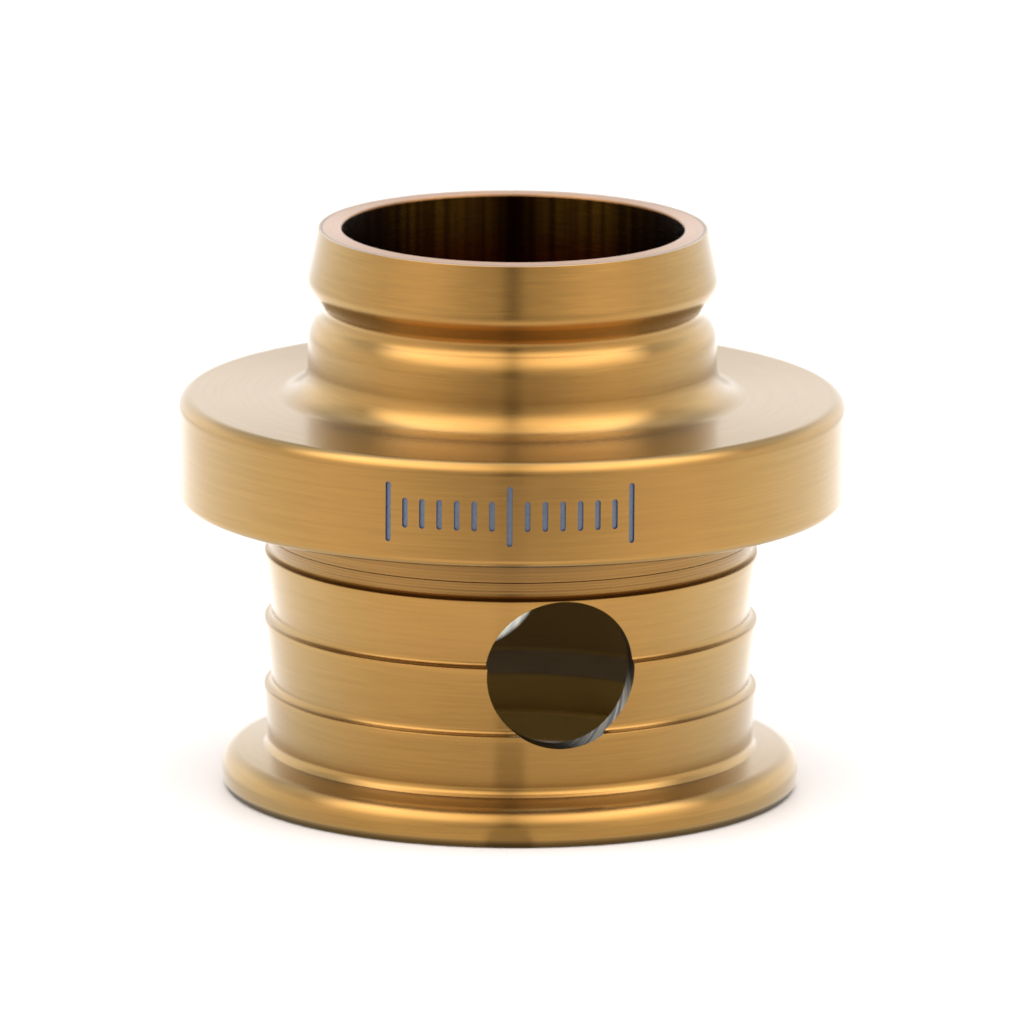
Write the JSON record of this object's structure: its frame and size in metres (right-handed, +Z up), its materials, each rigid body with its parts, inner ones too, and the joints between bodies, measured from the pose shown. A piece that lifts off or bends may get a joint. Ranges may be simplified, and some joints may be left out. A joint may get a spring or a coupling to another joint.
{
  "type": "flanged tube adapter collar",
  "caption": "Round adapter collar: grooved neck over a wide flange and a ribbed, cross-drilled hollow barrel on a rounded foot.",
  "frame": {"origin": "centre of the foot ring's resting face", "axes": "+Z up along the collar's axis; the cross hole runs along Y, and the engraved index scale is turned from -Y towards -X"},
  "size_m": [0.0621, 0.062, 0.0528],
  "materials": {
    "bronze_head": "turned and brushed, bronze-gold coating",
    "bronze_barrel": "turned and brushed, bronze-gold coating; cross hole left as drilled",
    "bronze_foot": "turned and brushed, bronze-gold coating",
    "liner_steel": "finely turned, rose-bronze tint",
    "plain_steel": "turned, uncoated",
    "black_rubber": "matt nitrile"
  },
  "bodies": {
    "root": {"head_collar": "bronze_head", "bore_liner": "liner_steel", "upper_grip_ring": "black_rubber", "ring_spacer": "plain_steel", "lower_grip_ring": "black_rubber", "stop_ring": "plain_steel", "joint_seal": "black_rubber", "ribbed_barrel": "bronze_barrel", "foot_ring": "bronze_foot", "foot_screws": "plain_steel"}
  },
  "joints": []
}
